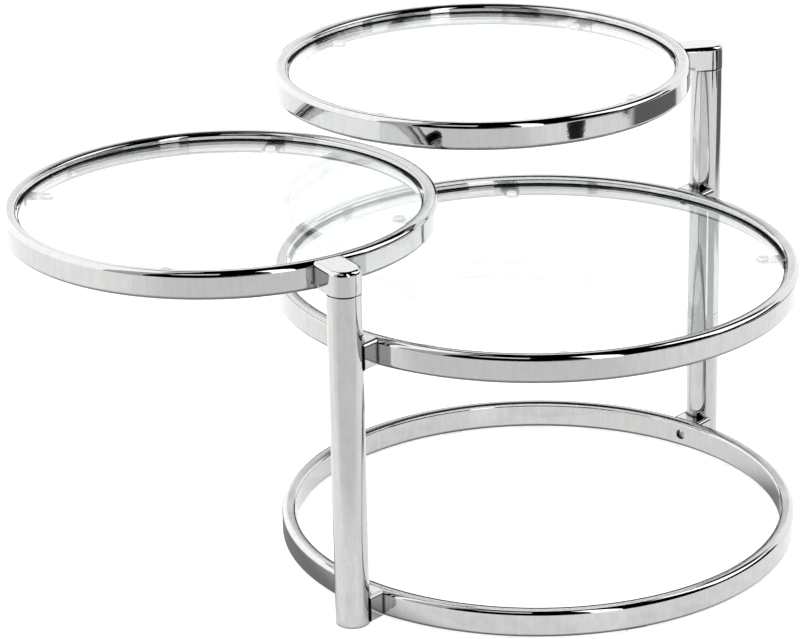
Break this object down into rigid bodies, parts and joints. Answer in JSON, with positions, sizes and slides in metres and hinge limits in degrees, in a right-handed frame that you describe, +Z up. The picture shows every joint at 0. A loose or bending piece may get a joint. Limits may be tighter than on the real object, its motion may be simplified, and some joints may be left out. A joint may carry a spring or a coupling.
{
  "type": "swivel coffee table",
  "caption": "Tiered round coffee table: chromed base and middle hoops between two posts, with a glazed hoop that swivels on top of each post.",
  "frame": {"origin": "centre of the base ring, at floor level", "axes": "+Z up; +X from the short post to the tall post; +Y to the side to which both tops are swung at rest"},
  "size_m": [0.7092, 0.6727, 0.426],
  "materials": {
    "chrome": "polished chrome plate on steel",
    "glass": "clear float glass, polished bevelled edges, faint green tint",
    "clear_pad": "clear soft vinyl",
    "bush_plastic": "black nylon",
    "foot_plastic": "natural polyethylene, pale and slightly translucent",
    "steel": "zinc-plated steel"
  },
  "bodies": {
    "stand": {"base_ring": "chrome", "middle_ring": "chrome", "base_ring_glides": "foot_plastic", "middle_glass": "glass", "middle_glass_tabs": "chrome", "middle_glass_pads": "clear_pad", "short_post": "chrome", "short_post_foot_plug": "foot_plastic", "short_post_base_bracket": "chrome", "short_post_middle_bracket": "chrome", "short_post_ring_screws": "steel", "short_post_nut_blocks": "steel", "short_post_upper_bush": "bush_plastic", "short_post_lower_bush": "bush_plastic", "tall_post": "chrome", "tall_post_foot_plug": "foot_plastic", "tall_post_base_bracket": "chrome", "tall_post_middle_bracket": "chrome", "tall_post_ring_screws": "steel", "tall_post_nut_blocks": "steel", "tall_post_upper_bush": "bush_plastic", "tall_post_lower_bush": "bush_plastic"},
    "lower_top": {"lower_swivel_ring": "chrome", "lower_swivel_hub": "chrome", "lower_swivel_hub_screw": "steel", "lower_swivel_spindle": "steel", "lower_swivel_washer": "steel", "lower_swivel_clip": "steel", "lower_swivel_glass": "glass", "lower_swivel_glass_tabs": "chrome", "lower_swivel_glass_pads": "clear_pad"},
    "upper_top": {"upper_swivel_ring": "chrome", "upper_swivel_hub": "chrome", "upper_swivel_hub_screw": "steel", "upper_swivel_spindle": "steel", "upper_swivel_washer": "steel", "upper_swivel_clip": "steel", "upper_swivel_glass": "glass", "upper_swivel_glass_tabs": "chrome", "upper_swivel_glass_pads": "clear_pad"}
  },
  "joints": [
    {"name": "lower_swivel", "type": "hinge", "parent": "stand", "child": "lower_top", "pos_m": [-0.274, 0, 0.351], "axis": [0, 0, 1], "continuous": true},
    {"name": "upper_swivel", "type": "hinge", "parent": "stand", "child": "upper_top", "pos_m": [0.274, 0, 0.426], "axis": [0, 0, 1], "continuous": true}
  ]
}
